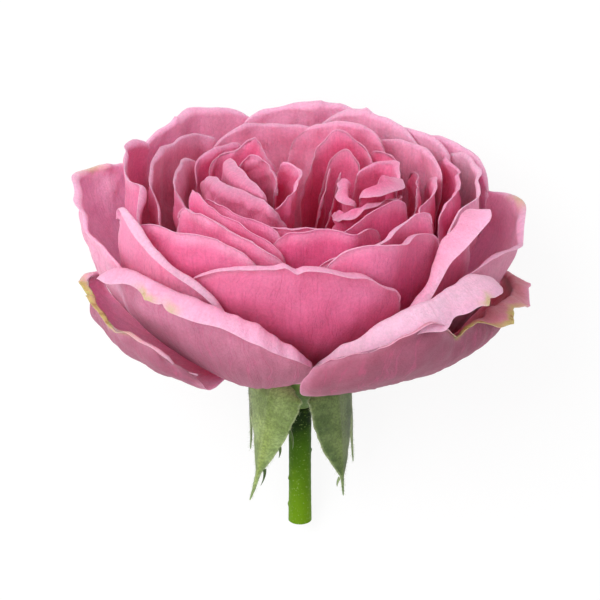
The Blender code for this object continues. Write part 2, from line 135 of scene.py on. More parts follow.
# what the petals of a kind share: mesh divisions across, up the bowl and round the lip; height of the rim's
# waves, ruffles, ribs and crumples, and sizes of the crumples (mm); options for all rows
KINDS = {
    "outer": dict(grid=(96, 50, 16), wave=0.6, ruffle=0.45, rib=0.12, crumple=0.42, folds=(4, 11), drop=5,
                  lip=1, turn=90),
    "cup": dict(grid=(84, 46, 12), wave=0.42, ruffle=0.35, rib=0.1, crumple=0.38, folds=(4, 11), drop=3,
                lip=0.8, turn=80),
    "inner": dict(grid=(68, 40, 8), wave=0.55, ruffle=0.35, rib=0.08, crumple=0.38, folds=(3.5, 9), drop=2,
                  lip=0.5, turn=60),
    "centre": dict(grid=(76, 36, 8), wave=0.75, ruffle=0.3, rib=0.07, crumple=0.5, folds=(2.4, 6.5), drop=1),
}
PETALS = {
    # guard petals, widest, bent away from the cup
    "outer": [
        dict(at=(-157, 34, 41, 13.8), drop=1.8, tilt=-0.5, lip=0.45, turn=55, belly=3,
             dips=((5, 1, 0.16), (1.6, -0.42, 0.09)), tail=0.6, frill=1.4, corner=0.5,
             fold=(-0.35, -0.8, 70, 2.2), worn=((0.1, 0.5, 1), (-0.55, 0.3, 1)), dull=(0.95, 0.35), soft=1),
        dict(at=(-119, 35, 35.2, 22.5), spiral=-1.2, tilt=-5.5, drop=6, lip=1.35, turn=128, sag=2.6,
             tail=2.1, fold=(-0.45, -0.95, 112, 3.8), corner=0.5,
             teeth=((-0.42, 0.05, 0.9), (-0.28, 0.03, -0.9)), worn=((-0.42, 0.08, 0.9), (-0.2, 0.06, 0.6)),
             dull=(0.72, 0.05), soft=0.2),
        dict(at=(-40, 50, 40.2, 15.8), spiral=1, tilt=-1.2, drop=1.8, lip=0.7, turn=55, belly=3.4,
             dips=((2.5, -1.1, 0.16), (-3.2, -0.4, 0.2), (1.4, -0.12, 0.06)), tail=0.5, frill=1.3,
             corner=0.4, fold=(-0.12, 0.15, 84, 3.2),
             teeth=((0.02, 0.06, -1.6), (0.22, 0.05, 1.6), (0.34, 0.05, -1.8)),
             worn=((-0.05, 0.16, 1), (0.26, 0.16, 1)), dull=(1, 0.95)),
        dict(at=(84, 16, 32.4, 27), claw=-16, dull=(0.5, 0.3)),
        dict(at=(-56, 29, 34.9, 21.5), spiral=2.5, tilt=6, drop=6, lip=1.35, turn=120, tail=3,
             fold=(-0.5, 0.2, 114, 4.4), corner=0.6, teeth=((0.52, 0.04, 0.9), (0.6, 0.03, -0.8)),
             worn=((0.55, 0.07, 0.8),), dull=(0.55, 0.05), soft=0.8),
        dict(at=(178, 34, 38.4, 27.9), spiral=-1.8, bow=2.2, tilt=-2, drop=3, claw=-16, square=5, corner=0.8,
             worn=((-0.55, 0.12, 0.6),), dull=(0.2, 0.1), soft=1),
        dict(at=(-5, 36, 38.2, 25), spiral=1.8, bow=2, tilt=1, drop=2.5, square=5, corner=0.8,
             dips=((2.5, -0.1, 0.25),), worn=((0.45, 0.12, 0.6),), dull=(0.7, 0.5), soft=1),
        dict(at=(116, 24, 38.4, 20), spiral=2, bow=3.4, lip=1.2, frill=1.4, worn=((0.5, 0.3, 0.5),),
             dull=(0.7, 0.4)),
        dict(at=(59, 27, 38.4, 20), spiral=-2, bow=3.4, lip=1.2, frill=1.4, worn=((-0.4, 0.3, 0.5),),
             dull=(0.7, 0.4)),
    ],
    # cup petals, the tall wall of the flower
    "cup": [
        dict(at=(-134, 26, 32.5, 28.5), spiral=-0.8, tilt=-8, drop=4, lip=1.2, turn=120, tail=1.2, soft=0.9),
        dict(at=(-44, 19, 32.2, 25.5), spiral=0.8, tilt=11, drop=4, lip=1.1, turn=115, tail=0.7, soft=0.5,
             fold=(-0.25, 0.7, 95, 4.7), dull=(0.3, 0.1)),
        dict(at=(185, 33, 30, 34.5), spiral=-1.4, tilt=-2.5, turn=70, frill=1.8, soft=0.3,
             dips=((6, 1, 0.42),), corner=1),
        dict(at=(128, 27, 32.8, 34.5), lip=0.9, turn=100, tip=0.8, teeth=((0.35, 0.06, 0.9),),
             dull=(0.3, 0.15), soft=0.7),
        dict(at=(88, 24, 30.2, 35), drop=2, teeth=((-0.2, 0.08, 0.5),), soft=0.7),
        dict(at=(62, 25, 28, 34.8), claw=6, teeth=((0.1, 0.06, 0.8),), soft=0.7),
        dict(at=(46, 18, 30, 33.2), claw=-10, soft=0.7),
        dict(at=(37, 25, 33.8, 31.6), drop=2.5, lip=0.9, turn=100, dull=(0.3, 0.1), soft=0.7),
        dict(at=(4, 37, 31, 31.6), spiral=1.5, turn=70, dull=(0.2, 0.1), soft=0.7),
        dict(at=(-92, 40, 30, 28.2), tilt=-1, drop=6, lip=0.9, turn=105, tail=1,
             dips=((0.5, 0, 0.05), (-0.5, -0.12, 0.06)), corner=1.4, dull=(0.3, 0.6)),
        dict(at=(-128, 27, 28.3, 31), spiral=-2.2, tilt=-1, drop=2, lip=0.7, turn=70, tail=0.4, frill=1.5),
        dict(at=(-118, 28, 24.8, 32), tilt=-3, drop=2, lip=0.7, turn=70, tail=0.4, frill=1.5),
        dict(at=(-58, 26, 26.1, 30.5), spiral=1, tilt=3, drop=1.5, lip=0.7, claw=-8, tail=0.5, frill=0.7),
        dict(at=(-55, 27, 28.2, 30), tilt=-1, drop=2.6, lip=0.7, claw=15, tail=0.7, frill=0.7),
    ],
    # inner petals, folded upright inside the cup
    "inner": [
        dict(at=(165, 44, 25.9, 34.5), dips=((5, 1, 0.4),), frill=1.5, soft=0.4),
        dict(at=(-122, 30, 22.6, 33), spiral=0.6, tilt=-3, drop=1),
        dict(at=(-76, 28, 21.8, 31), drop=1.5, tail=0.6),
        dict(at=(-50, 24, 19.9, 32), spiral=1, tilt=1.5, drop=1.5),
        dict(at=(70, 27, 21.1, 35.2), drop=2.5, soft=0.4),
        dict(at=(-122, 29, 19.1, 32.5), tilt=-1, drop=1),
        dict(at=(4, 32, 27.3, 31.6), frill=1.5),
        dict(at=(-6, 30, 23.7, 31.4), frill=1.3),
        dict(at=(102, 30, 24.6, 33.4), soft=0.4),
        dict(at=(38, 27, 25, 32.4), soft=0.4),
        dict(at=(176, 31, 21.9, 33.2), frill=1.6, soft=0.4),
        dict(at=(138, 28, 19.5, 33), frill=1.3),
    ],
    # centre petals, in quarters that each have their own heart: left, right, back, and the fringe round them
    "centre": [
        dict(at=(92, 88, 5.8, 34.4), tip=1.6, tilt=-0.8, drop=5, square=1.6, heart=BACK_HEART, frill=0.7),
        dict(at=(-88, 26, 16.6, 30.8), drop=1.5, lip=0.4, turn=80, tail=0.8),
        dict(at=(234, 68, 8.2, 32.6), tilt=-1, heart=LEFT_HEART, lip=1.9, turn=-48, tail=1.1,
             dull=(0.5, 0.6)),
        dict(at=(98, 56, 6.9, 34), tip=0.8, drop=1.5, heart=LEFT_HEART, teeth=((-0.2, 0.16, 1.8),)),
        dict(at=(6, 20, 20.9, 31), drop=1.5),
        dict(at=(38, 15, 18.8, 32.4), drop=1.5),
        dict(at=(-80, 80, 6.6, 31.2), heart=RIGHT_HEART, lip=0.5, turn=95, tail=0.4,
             fold=(0.1, -0.5, 125, 2.4), frill=1.3),
        dict(at=(-16, 62, 6.3, 33.2), tilt=2.2, heart=LEFT_HEART, lip=0.35, turn=60),
        dict(at=(70, 80, 3.5, 32.8), tip=1, drop=4, square=1.8, heart=BACK_HEART, frill=0.7),
        dict(at=(50, 58, 5.8, 33), heart=RIGHT_HEART, lip=0.35, turn=70, tail=0.8),
        dict(at=(205, 86, 5, 34.2), heart=LEFT_HEART, lip=1.6, turn=-50, tail=1.3, dull=(0.5, 0.6)),
        dict(at=(60, 90, 3.3, 35), heart=LEFT_HEART, lip=0.9, turn=-35, tail=0.9, dull=(0.4, 0.45)),
        dict(at=(194, 54, 4.8, 32.4), heart=RIGHT_HEART, lip=0.4, turn=110, tail=1.8, frill=1.4),
        dict(at=(-30, 88, 3.6, 33.6), heart=RIGHT_HEART, lip=0.5, turn=112, tail=3.4, frill=0.5),
        dict(at=(156, 60, 1.5, 32.2), tilt=-1, **EYE_PETAL),
        dict(at=(-24, 60, 1.5, 32), tilt=1, **EYE_PETAL),
    ],
}

# smooth warps shared by all petals: seed, wavelength and reach (mm), flower heights where each begins and is
# full (mm), and the radius inside which it is full; outside that it keeps a share
WARPS = (
    (3, 27, 1.1, (8, 26), 60),
    (8, 12.5, 0.55, (14, 28), 60),
    (21, 5, 0.34, (20, 29), 17),
)
WARP_OUTSIDE = 0.35

# waves along a petal's rim: step of the seed, size (mm), how many are summed, how they fall off, how strong
RIM_WAVES = {
    "height": (0, 13, 4, 0.55, 1),
    "lip": (20, 16, 2, 0.6, 0.12),
    "turn": (31, 15, 3, 0.5, 0.1),
    "tail": (42, 12, 4, 0.6, 0.2),
    "ruffle": (50, 12, 4, 0.6, 1),
    "flap": (63, 8, 4, 0.7, 0.25),
    "rib": (70, 2.6, 3, 0.8, 1),
}

# sepal rows: azimuth, length factor, width factor, outward lean of the hanging blade (deg), sweep of the tip
# (mm), where the blade ends and its tail begins, how full the blade is, how lit it is (painted light, darker
# on sepals turned from the lamps); then its thin side lobes: how far down the margin, side, length (mm),
# bend away from the blade (deg)
SEPALS = {
    "sepal_1": ((-125, 0.92, 1.17, 6, -3, 0.8, 1.7, 1),
                ((0.38, 1, 4.2, 46), (0.53, 1, 2.6, 38), (0.72, 1, 4.6, 34))),
    "sepal_2": ((-45, 0.86, 1.08, 8, -1, 0.86, 2.6, 0.25), ((0.84, -1, 2, 52),)),
    "sepal_3": ((19, 0.84, 0.9, 3, 0, 0.8, 1.8, 0.1), ((0.42, -1, 2.6, 35), (0.6, 1, 3, 35))),
    "sepal_4": ((91, 0.8, 0.9, -6, 0, 0.78, 1.8, 0.3), ((0.5, 1, 3.2, 35), (0.66, -1, 2.8, 30))),
    "sepal_5": ((163, 0.7, 0.9, -2, 1.6, 0.8, 1.8, 0.1), ((0.45, 1, 3, 40), (0.62, -1, 2.4, 35))),
}
LOBE_HALF = 0.26

# stem bumps: how far down, direction round the stem (deg), height (mm); their size round and along it
BUMPS = ((0.62, 200, 0.28), (0.86, 175, 0.22), (0.4, 20, 0.3), (0.75, 80, 0.25))
BUMP_SIZE = (0.42, 0.38)

# hairs on the sepals: how many per square metre, and sizes in metres; fringe width in mm
HAIR_FELT = 1.6e6
HAIR_FRINGE = 2.2e7
HAIR_FRINGE_WIDTH = 0.35
HAIR_LENGTH = 0.0005
HAIR_R = 0.000013
HAIR_LEAN = 0.9

# stamens: how many per square metre, and sizes in metres
STAMENS_PER_AREA = 5.5e6
STAMEN_LENGTH = 0.0011
FILAMENT_R = 0.00006
ANTHER_R = 0.00016

# petal colours, linear: deep at the claw, middle, bright above, and shares of the pale margin and the veins;
# then those that all petals share
PETAL_COLOURS = {
    "outer": ((0.88, 0.12, 0.26), (0.83, 0.23, 0.38), (0.84, 0.33, 0.49), 0.8, 0.22),
    "cup": ((0.94, 0.05, 0.19), (0.88, 0.08, 0.25), (0.88, 0.21, 0.39), 0.7, 0.16),
    "inner": ((0.92, 0.02, 0.12), (0.86, 0.065, 0.23), (0.87, 0.14, 0.32), 0.5, 0.12),
    "centre": ((0.92, 0.018, 0.1), (0.87, 0.08, 0.23), (0.87, 0.17, 0.34), 0.45, 0.1),
}
PALE = (0.86, 0.4, 0.56)
EDGE = (0.92, 0.4, 0.57)
MAUVE = (0.56, 0.2, 0.31)
# dark mauve that is painted shade: on the backs of the dullest petals, and low on the backs
MAUVE_SHADE = (0.25, 0.07, 0.115)
# pale pink that is partly painted light, lifting the faces of petals that sit in shade
LIT_PALE = (0.94, 0.54, 0.69)
DRY_ROSE = (0.42, 0.165, 0.165)
VEIN = (0.6, 0.1, 0.24)
PAPERY = (0.44, 0.42, 0.13)
BROWNED = (0.2, 0.13, 0.04)

# lamps: size (m), watts, direction in the flower's frame, distance (m); then the world and the white floor
LAMPS = {
    "key_softbox": (0.5, 3.3, (-0.55, -0.7, 0.68), 0.75),
    "front_softbox": (0.9, 2.6, (-0.25, -1, 0.15), 0.9),
}
LAMPS_AT = 18
WORLD_LIGHT = 0.66
FLOOR_SIZE = 3
FLOOR_TONE = 0.93
FLOOR_GLOW = 0.88

# camera: degrees above the level of the petals, lens and sensor, how far off and at what height it aims (mm)
VIEW_DEG = 24
LENS = 150
SENSOR = 36
CAMERA_OFF = 450
CAMERA_RISE = 8.1


# ---- the flower's place in the part's frame
def flower_matrix():
    """Flower frame (mm) to part frame (m), found from the receptacle's own solid."""
    lean = Matrix.Rotation(radians(LEAN_DEG), 4, "X")
    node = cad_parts["receptacle"]
    points = np.array([lean.inverted() @ v.co for v in node.data.vertices])
    low, high = points.min(axis=0), points.max(axis=0)
    origin = Vector((*(low + high)[:2] / 2, high[2] - (DOME_Z + DOME_H) * MM))
    return lean @ Matrix.Translation(origin) @ Matrix.Scale(MM, 4)


FLOWER = flower_matrix()
FLOWER_NP = np.array(FLOWER)
# petals flatten softly where they come this near to the floor (m)
FLOOR_SOFT = 0.0012


def place(points):
    """Flower-frame points (mm) as part-frame ones (m), none below the floor."""
    points = np.asarray(points, dtype=float)
    placed = points @ FLOWER_NP[:3, :3].T + FLOWER_NP[:3, 3]
    z = placed[..., 2]
    flat = FLOOR_SOFT * np.exp(np.minimum(z, FLOOR_SOFT) / FLOOR_SOFT - 1)
    placed[..., 2] = np.where(z < FLOOR_SOFT, flat, z)
    return placed


def flower_direction(direction):
    return (FLOWER.to_3x3() @ Vector(direction)).normalized()


# ---- meshes
SHARP_DEG = 62


def add_object(name, data):
    obj = bpy.data.objects.new(name, data)
    bpy.context.scene.collection.objects.link(obj)
    return obj


def smooth_mesh(name, verts, faces):
    mesh = bpy.data.meshes.new(name)
    mesh.from_pydata([tuple(v) for v in verts], [], [tuple(f) for f in faces])
    mesh.shade_smooth()
    mesh.set_sharp_from_angle(angle=radians(SHARP_DEG))
    return mesh


def float_attribute(mesh, name, values):
    layer = mesh.attributes.new(name, "FLOAT", "POINT")
    layer.data.foreach_set("value", np.asarray(values, dtype=np.float32).ravel())


def shares(count):
    return np.linspace(0, 1, count)


def xyz(x, y, z):
    return np.stack([x, y, z], axis=-1)


def polar(r, angle, z):
    return xyz(r * np.cos(angle), r * np.sin(angle), z)


def grid_normals(grid):
    """Unit normals of a (rows, columns, 3) grid."""
    normal = np.cross(np.gradient(grid, axis=1), np.gradient(grid, axis=0))
    return normal / np.maximum(np.linalg.norm(normal, axis=2, keepdims=True), 1e-9)


def run_length(points, axis):
    """Distance travelled along a grid's rows or columns, from its first line on."""
    steps = np.linalg.norm(np.diff(points, axis=axis), axis=2)
    return np.pad(np.cumsum(steps, axis=axis), ((1, 0), (0, 0)) if axis == 0 else ((0, 0), (1, 0)))


def side_margin(points):
    """Distance of each point from the nearer end of its row."""
    width = run_length(points, 1)
    return np.minimum(width, width[:, -1:] - width)


def shell_part(grid, wall, fields):
    """Closed thin shell round a grid of points (rows, columns, 3) in mm: points, faces, fields.

    Fields are per point or even.  The field "outside" is 0 where the normals point and 1 on the back.
    """
    fields = {key: 0 * grid[..., 0] + values for key, values in fields.items()}
    thin, thick, band = wall
    thickness = thin + (thick - thin) * np.clip(fields["margin"] / band, 0, 1)
    rows, cols = grid.shape[:2]
    count = rows * cols
    shift = grid_normals(grid) * thickness[..., None] * 0.5
    verts = np.concatenate([(grid + shift).reshape(-1, 3), (grid - shift).reshape(-1, 3)])
    index = np.arange(count).reshape(rows, cols)
    a, b = index[:-1, :-1], index[:-1, 1:]
    c, d = index[1:, 1:], index[1:, :-1]
    front = np.stack([a, b, c, d], axis=-1).reshape(-1, 4)
    back = np.stack([a, d, c, b], axis=-1).reshape(-1, 4) + count
    loop = np.concatenate([index[0, :], index[1:, -1], index[-1, -2::-1], index[-2:0:-1, 0]])
    ahead = np.roll(loop, -1)
    rim = np.stack([ahead, loop, loop + count, ahead + count], axis=-1)
    kept = {key: np.concatenate([values.ravel(), values.ravel()]) for key, values in fields.items()}
    kept["outside"] = np.repeat([0, 1], count)
    return verts, np.concatenate([front, back, rim]), kept


def parts_mesh(name, parts):
    """One mesh from several (points, faces, fields)."""
    verts, faces, count = [], [], 0
    for points, polys, _ in parts:
        verts.append(place(points))
        faces.extend((polys + count).tolist())
        count += len(points)
    mesh = smooth_mesh(name, np.concatenate(verts), faces)
    for key in parts[0][2]:
        float_attribute(mesh, key, np.concatenate([fields[key] for _, _, fields in parts]))
    return mesh


def on_the_rose(obj, node=None):
    """Piece that rides on the rose's one body, and may stand for a node."""
    if node:
        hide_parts(node)
    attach(obj, "root")


def finished(name, mesh, material, node):
    mesh.materials.append(material)
    on_the_rose(add_object(name, mesh), node)


# ---- smooth random waves
CRUMPLE_FOLDS = 7
# mean height of a folded sine
FOLD_MEAN = 0.64


def waves(x, seed, first, count, fall):
    """Sum of sines with seeded phases, about -1 to 1."""
    rng = random.Random(seed)
    total = np.zeros_like(x)
    size = 0
    for k in range(count):
        step = first * (1 + 0.8 * k) * rng.uniform(0.85, 1.15)
        total = total + fall ** k * np.sin(pi * step * x + rng.uniform(0, 2 * pi))
        size += fall ** k
    return total / size


def rim_waves(u, seed, wide):
    """The waves that a petal of this width has along its rim."""
    return {
        what: strength * waves(u, seed + step, wide / size, count, fall)
        for what, (step, size, count, fall, strength) in RIM_WAVES.items()
    }


def crumples(across, along, sizes, seed):
    """Uneven soft folds with sharper creases over a sheet, its two places in mm, about -1 to 1."""
    rng = random.Random(seed)
    total = np.zeros_like(across)
    for _ in range(CRUMPLE_FOLDS):
        turn = rng.uniform(0, pi)
        line = across * cos(turn) + along * sin(turn)
        fold = np.sin(pi * line / rng.uniform(*sizes) + rng.uniform(0, pi))
        total += np.abs(fold) - FOLD_MEAN
    return total / sqrt(CRUMPLE_FOLDS)


def smoothstep(low, high, x):
    t = np.clip((x - low) / (high - low), 0, 1)
    return t * t * (3 - 2 * t)


def hump(x, middle, width):
    return np.exp(-(((x - middle) / width) ** 2))


def warped(points):
    """Points after the shared warps, small sideways shifts that change smoothly from place to place."""
    for seed, wavelength, reach, heights, radius in WARPS:
        rng = random.Random(seed)
        x, y, z = np.moveaxis(points, -1, 0)
        outside = (WARP_OUTSIDE - 1) * smoothstep(0.8, 1.2, np.hypot(x, y) / radius)
        strength = smoothstep(*heights, z) * (1 + outside)
        shift = np.zeros_like(points)
        for axis in (0, 1, 0, 1, 0, 1):
            turn, phase = rng.uniform(0, 2 * pi), rng.uniform(0, 2 * pi)
            step = 2 * pi / (wavelength * rng.uniform(0.8, 1.25))
            line = x * cos(turn) + y * sin(turn) + z * rng.uniform(-0.35, 0.35)
            shift[..., axis] += np.sin(step * line + phase)
        points = points + shift * (0.5 * reach * strength)[..., None]
    return points


# ---- petals
CORNER_POWER = 9
# a tail wider than this is a flap of its own, and takes the teeth of the margin
FLAP_LEAST = 1
FLAP_ROUND = 5
# share of the lip's rows that the roll takes; the flat band has the others
ROLL_ROWS = 0.6


def bowl_base(rho):
    return BASE_TOP - BASE_SLOPE * rho


def bowl_points(x, y, psi):
    """Points above places of the flower's plan, at angles psi up their bowls."""
    rho = np.hypot(x, y)
    shrink = np.sin(psi) ** BOWL_P
    rise = 1 - np.cos(psi)
    nod = np.maximum(0, 1 - (rho / NOD_R) ** 2) ** 2 * rise * rise
    height = bowl_base(rho) + BOWL_H * rise
    return xyz((x + NOD[0] * nod) * shrink, (y + NOD[1] * nod) * shrink, height)


def bowl_start_table():
    """Angle at which each bowl leaves the receptacle dome."""
    rhos = np.linspace(0.2, 46, 90)
    starts = []
    for rho in rhos:
        psi = START_LEAST
        while psi < 1.5:
            x, y, z = bowl_points(rho, 0, psi)
            out = hypot(x, y) / (DOME_R + DOME_GAP)
            if out ** 2 + ((z - DOME_Z) / (DOME_H + DOME_GAP)) ** 2 >= 1:
                break
            psi += 0.004
        starts.append(psi)
    return rhos, np.array(starts)


BOWL_STARTS = bowl_start_table()


def toothed(row, u):
    """Sharp steps of the rim."""
    total = np.zeros_like(u)
    for where, width, height in row["teeth"]:
        total = total + height * np.exp(-np.abs((u - where) / width))
    return total


def has_flap(row):
    return max(row["tail"], row["fold"][-1] if row["fold"] else 0) > FLAP_LEAST


def rim_height(row, u):
    height = row["at"][3] + row["tilt"] * u - row["drop"] * np.abs(u) ** row["square"]
    height = height - row["corner"] * (1 - np.sqrt(1 - np.abs(u) ** CORNER_POWER))
    for deep, where, wide in row["dips"]:
        height = height - deep * hump(u, where, wide)
    return height + row["tip"] * hump(u, 0, TIP_WIDTH)


def petal_width(v, claw, half):
    grow = np.sin(np.minimum(1, v / FULL_AT) * pi / 2) ** FULL_CURVE
    shoulder = np.maximum(0, v - SHOULDER_AT) / (1 - SHOULDER_AT)
    return (claw + (half - claw) * grow) * (1 - SHOULDER_IN * shoulder ** 2)


def petal_plan(row, degrees):
    """Places of a petal in the flower's plan, at angles round its heart."""
    azimuth, half, rho, _ = row["at"]
    x, y, axis, stretch = row["heart"]
    sheet = np.clip((degrees - azimuth) / half, -1, 1)
    rho = rho + row["spiral"] * sheet - row["bow"] * sheet ** 2
    turn = radians(axis)
    angle = np.radians(degrees) - turn
    along, across = stretch * rho * np.cos(angle), rho * np.sin(angle)
    return (
        x + cos(turn) * along - sin(turn) * across,
        y + sin(turn) * along + cos(turn) * across,
    )


def rolled(points, row, rho, psi, azimuth, u, ww, wave):
    """Points carried round the rolled lip and out along the flat band beyond it."""
    roll = row["lip"] * (1 + wave["lip"])
    most = np.radians(abs(row["turn"])) * (1 + wave["turn"])
    tail = row["tail"] * (1 + wave["tail"])
    share = 0 * u
    if row["fold"]:
        low, high, turn, flap = row["fold"]
        share = smoothstep(low, high, u)
        most = most + (radians(turn) - most) * share
        tail = tail + (flap * (1 + wave["flap"]) - tail) * share
    if has_flap(row):
        tail = tail + toothed(row, u)
    tail = tail * np.sqrt(1 - np.abs(u) ** FLAP_ROUND)
    fade = 1 - LIP_FADE * (1 - share) * np.abs(u) ** 3
    turn = most * np.minimum(1, ww / ROLL_ROWS)
    run = np.maximum(0, tail) * np.maximum(0, ww - ROLL_ROWS) / (1 - ROLL_ROWS)
    out = roll * np.sin(turn) + run * np.cos(most)
    over = copysign(1, row["turn"]) * (roll * (1 - np.cos(turn)) + run * np.sin(most))
    along_r = rho * BOWL_P * np.sin(psi) ** (BOWL_P - 1) * np.cos(psi)
    along_z = BOWL_H * np.sin(psi)
    size = np.hypot(along_r, along_z)
    along_r, along_z = along_r / size, along_z / size
    step_r = (along_r * out + along_z * over) * fade
    step_z = (along_z * out - along_r * over) * fade
    return points + polar(step_r, azimuth, step_z) * (ww > 0)[..., None]


def petal_grid(row, seed):
    """Middle surface of a petal, and each point's place across and up and its distance from the margin."""
    columns, up, curl = row["grid"]
    azimuth, half, rho0, _ = row["at"]
    claw = min(CLAW, half * CLAW_MOST) if row["heart"] is MIDDLE else half * HEART_CLAW
    # columns crowd a little towards the sides, rows towards the rim
    u = np.linspace(-1, 1, columns + 1)
    u = np.sign(u) * (1 - (1 - np.abs(u)) ** 1.15)
    v = 1 - (1 - shares(up + 1)) ** 1.25
    # the lip's rows follow those of the bowl
    uu, vv = np.meshgrid(u, np.pad(v, (0, curl), constant_values=1))
    ww = np.pad(shares(curl + 1), (up, 0))[:, None] + 0 * uu

    wide = radians(half) * rho0
    wave = rim_waves(u, seed, wide)
    az = azimuth + row["claw"] * (1 - vv) ** 2 + petal_width(vv, claw, half) * uu
    x, y = petal_plan(row, az)
    rho = np.hypot(x, y)
    height = rim_height(row, u) + row["wave"] * wave["height"]
    if not has_flap(row):
        height = height + toothed(row, u)
    c = 1 - (height - row["lip"] - bowl_base(rho)) / BOWL_H
    psi_end = np.arccos(np.clip(c, -0.9, 0.999))
    psi_start = np.interp(rho, *BOWL_STARTS)
    psi = psi_start + (psi_end - psi_start) * vv ** UP_CURVE
    angle = np.radians(az)
    bulge = row["belly"] * np.sin(pi * vv ** BELLY_CURVE)
    sag = row["sag"] * hump(uu, SAG_AT, SAG_WIDTH) * np.sin(pi * vv ** SAG_CURVE)
    points = bowl_points(x, y, psi) + polar(bulge, angle, -sag)
    points = rolled(points, row, rho, psi, angle, u, ww, wave)

    # ruffles and crumples near the rim, ribs from claw to rim
    ruffle = row["ruffle"] * row["frill"] * wave["ruffle"] * smoothstep(0.55, 1, vv) ** 2
    rib = row["rib"] * wave["rib"] * np.sin(pi * vv ** 0.7) ** 0.5
    crumple = crumples(wide * uu, run_length(points, 0), row["folds"], seed + 90)
    crumple = row["crumple"] * row["frill"] * crumple * smoothstep(0.35, 0.95, vv)
    points = warped(points + grid_normals(points) * (ruffle + rib + crumple)[..., None])

    length = run_length(points, 0)
    return points, uu, length / length[-1], np.minimum(length[-1] - length, side_margin(points))


def petal(name, row, seed, material):
    points, across, up, margin = petal_grid(row, seed)
    worn = sum((strength * hump(across, where, width) for where, width, strength in row["worn"]), 0 * up)
    fields = {"across": across, "up": up, "margin": margin, "worn": np.minimum(1, worn)}
    fields = {key: values[:, ::-1] for key, values in fields.items()}
    fields.update(dull_back=row["dull"][0], dull_face=row["dull"][1], soft=row["soft"])
    fields["tone"] = random.Random(seed).random()
    part = shell_part(points[:, ::-1], PETAL_WALL, fields)
    finished(name + "_skin", parts_mesh(name + "_skin", [part]), material, name)


# ---- sepals, with their side lobes
def blade_width(v, ends, full):
    """Half width of a sepal as a share of its most: a broad blade that runs into a thin tail."""
    blade = 1 - np.minimum(1, v / ends) ** full
    tail = 0.22 * (1 - v) ** 0.6
    return (blade ** 3 + tail ** 3) ** (1 / 3)


def sepal_points(row, u, v):
    """A sepal leaves the hip sideways, bends down and hangs, cupped across its width."""
    azimuth, length, width, lean, sweep, ends, full, _ = row
    arc = radians(90 - lean)
    along = v * SEPAL_LEN * length
    bent = np.minimum(arc, along / SEPAL_BEND)
    rest = np.maximum(0, along - SEPAL_BEND * arc)
    r = SEPAL_R0 + SEPAL_BEND * np.sin(bent) + rest * cos(arc)
    z = SEPAL_Z0 - SEPAL_BEND * (1 - np.cos(bent)) - rest * sin(arc)
    half = SEPAL_HALF * width * blade_width(v, ends, full)
    foot = SEPAL_FOOT * width
    half = foot + (half - foot) * smoothstep(0, SEPAL_FOOT_TO, v)
    ripple = 0.35 * waves(v, azimuth, 5, 3, 0.7) * np.abs(u) * smoothstep(0.1, 0.3, v) * (1 - v)
    cup = SEPAL_CUP * half * np.abs(u) ** 1.4 - ripple
    side = half * u * (1 + 0.04 * waves(v, azimuth + 7, 9, 3, 0.8)) + sweep * v ** 2.4
    rr, zz = r - cup * np.sin(bent), z - cup * np.cos(bent)
    a, b = radians(azimuth), radians(azimuth + 90)
    return xyz(rr * cos(a) + side * cos(b), rr * sin(a) + side * sin(b), zz)


def sepal_part(row):
    columns, length = 28, 90
    u, v = np.meshgrid(np.linspace(-1, 1, columns + 1), shares(length + 1) ** 1.05)
    points = sepal_points(row, u, v)
    groove = 0.18 * hump(u, 0, 0.09) * (1 - v)
    points = points - grid_normals(points) * groove[..., None]
    fields = {"across": u, "up": v, "margin": side_margin(points), "lit_share": row[-1]}
    return shell_part(points, SEPAL_WALL, fields)


def lobe_part(row, down, side, length, bend):
    """Thin curved side lobe that grows out of a sepal's margin."""
    places = np.array([0.92, 0.5, 0.92]) * side, np.array([down, down, down + 0.02])
    root, inner, ahead = sepal_points(row, *places)
    ahead, out = ahead - root, root - inner
    ahead, out = ahead / np.linalg.norm(ahead), out / np.linalg.norm(out)
    t = shares(19)[:, None]
    turn = radians(bend) * (1 - 0.8 * t)
    spine = root + np.cumsum(np.cos(turn) * ahead + np.sin(turn) * out, axis=0) * length / len(t)
    half = LOBE_HALF * (1 - t) ** 0.8 + 0.02
    u = np.linspace(-1, 1, 5)[None, :] + 0 * t
    aside = np.cos(turn) * out - np.sin(turn) * ahead
    points = spine[:, None, :] + (half * u)[..., None] * aside[:, None, :]
    # side lobes take the shaded copy of the felt, a painted shade
    return shell_part(points, LOBE_WALL, {"across": u, "up": down, "margin": 0.5, "lit_share": 0})


# ---- receptacle and stem
def turned_part(r, z, sides, centre=0):
    """Closed turned solid from radii and heights that run from the top pole to the bottom one."""
    angle = np.linspace(0, 2 * pi, sides, endpoint=False)
    middle = xyz(0 * z, 0 * z, z) + centre
    points = middle[:, None, :] + r.reshape(len(z), -1, 1) * polar(1, angle, 0 * angle)
    rows = len(z)
    index = np.arange(rows * sides).reshape(rows, sides)
    ahead = np.roll(index, -1, axis=1)
    walls = np.stack([index[:-1], index[1:], ahead[1:], ahead[:-1]], axis=-1).reshape(-1, 4).tolist()
    verts = np.concatenate([points.reshape(-1, 3), middle[:1], middle[-1:]])
    top, foot = rows * sides, rows * sides + 1
    walls += [[top, a, b] for a, b in zip(index[0], ahead[0])]
    walls += [[foot, b, a] for a, b in zip(index[-1], ahead[-1])]
    return place(verts), walls


def receptacle_mesh():
    """Dome under the petals and the smooth hip below it."""
    dome = np.radians(np.linspace(88, 4, 22))
    knots = shares(len(HIP))
    hip_r, hip_z = (np.interp(shares(40), knots, column) for column in zip(*HIP))
    blur = np.array([1, 2, 3, 2, 1]) / 9
    hip_r = np.convolve(np.pad(hip_r, 2, mode="edge"), blur, mode="valid")
    r = np.concatenate([DOME_R * np.cos(dome), hip_r])
    z = np.concatenate([DOME_Z + DOME_H * np.sin(dome), hip_z])
    return smooth_mesh("receptacle_skin", *turned_part(r, z, 48))


